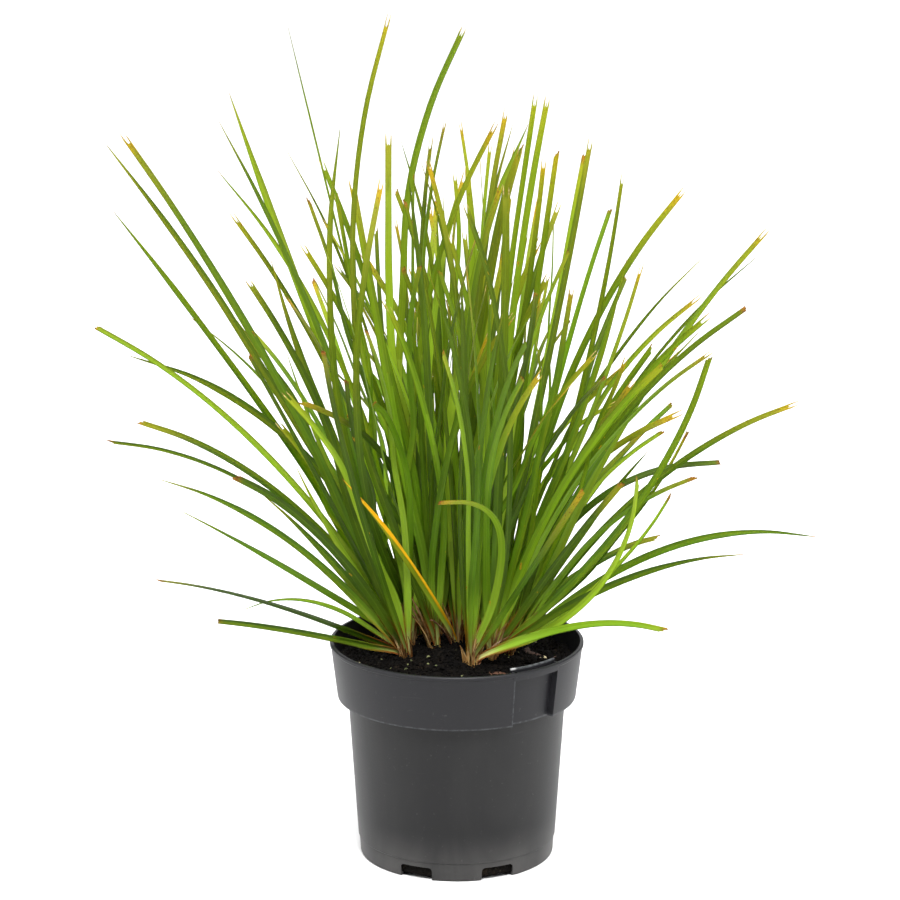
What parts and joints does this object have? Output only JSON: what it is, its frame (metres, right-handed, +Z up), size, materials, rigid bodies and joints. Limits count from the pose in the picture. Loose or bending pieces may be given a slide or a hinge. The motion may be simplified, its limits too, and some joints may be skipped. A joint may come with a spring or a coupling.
{
  "type": "potted lomandra",
  "caption": "Tussock of arching strap leaves with toothed, pointed or cut tips, growing from potting mix in a round plastic nursery pot with a deep collar.",
  "frame": {"origin": "centre of the pot's flat underside, on the surface it stands on", "axes": "+Z up along the pot's axis; -Y towards the front, where the label slot is to the right of the middle"},
  "size_m": [0.4026, 0.341, 0.4783],
  "materials": {
    "pot_plastic": "satin moulded polypropylene, dark grey",
    "potting_mix": "damp bark mix, near black, rough",
    "leaf": "fresh green leaf, soft sheen, fine lengthwise veins"
  },
  "bodies": {
    "root": {"pot": "pot_plastic", "potting_mix": "potting_mix", "shoot_01": "leaf", "shoot_02": "leaf", "shoot_03": "leaf", "shoot_04": "leaf", "shoot_05": "leaf", "shoot_06": "leaf", "shoot_07": "leaf", "shoot_08": "leaf", "shoot_09": "leaf", "shoot_10": "leaf", "shoot_11": "leaf", "shoot_12": "leaf", "shoot_13": "leaf", "shoot_14": "leaf", "shoot_15": "leaf"}
  },
  "joints": []
}
